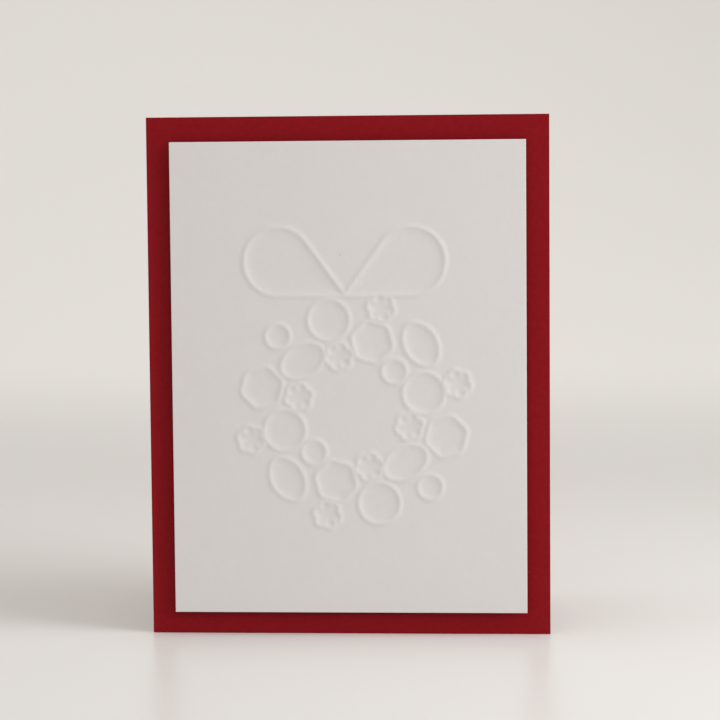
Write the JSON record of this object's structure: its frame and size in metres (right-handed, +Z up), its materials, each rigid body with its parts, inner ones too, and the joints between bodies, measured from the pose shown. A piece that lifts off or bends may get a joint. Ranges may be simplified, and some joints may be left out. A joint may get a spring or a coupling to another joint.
{
  "type": "greeting card",
  "caption": "Folded cardstock greeting card that stands open, with a blind-embossed panel mounted on its front on foam pads.",
  "frame": {"origin": "middle of the front leaf's bottom edge, halfway through the sheet, on the surface that the card stands on", "axes": "+X along the card's width from the fold to the open edge, +Y from the front to the back, +Z up"},
  "size_m": [0.108, 0.0572, 0.1397],
  "materials": {
    "base_cardstock": "matte",
    "panel_cardstock": "matte",
    "mounting_foam": "matte"
  },
  "bodies": {
    "root": {"card_base": "base_cardstock", "embossed_panel": "panel_cardstock", "foam_pad_1": "mounting_foam", "foam_pad_2": "mounting_foam", "foam_pad_3": "mounting_foam", "foam_pad_4": "mounting_foam", "foam_pad_5": "mounting_foam", "foam_pad_6": "mounting_foam", "foam_pad_7": "mounting_foam", "foam_pad_8": "mounting_foam", "foam_pad_9": "mounting_foam"}
  },
  "joints": []
}
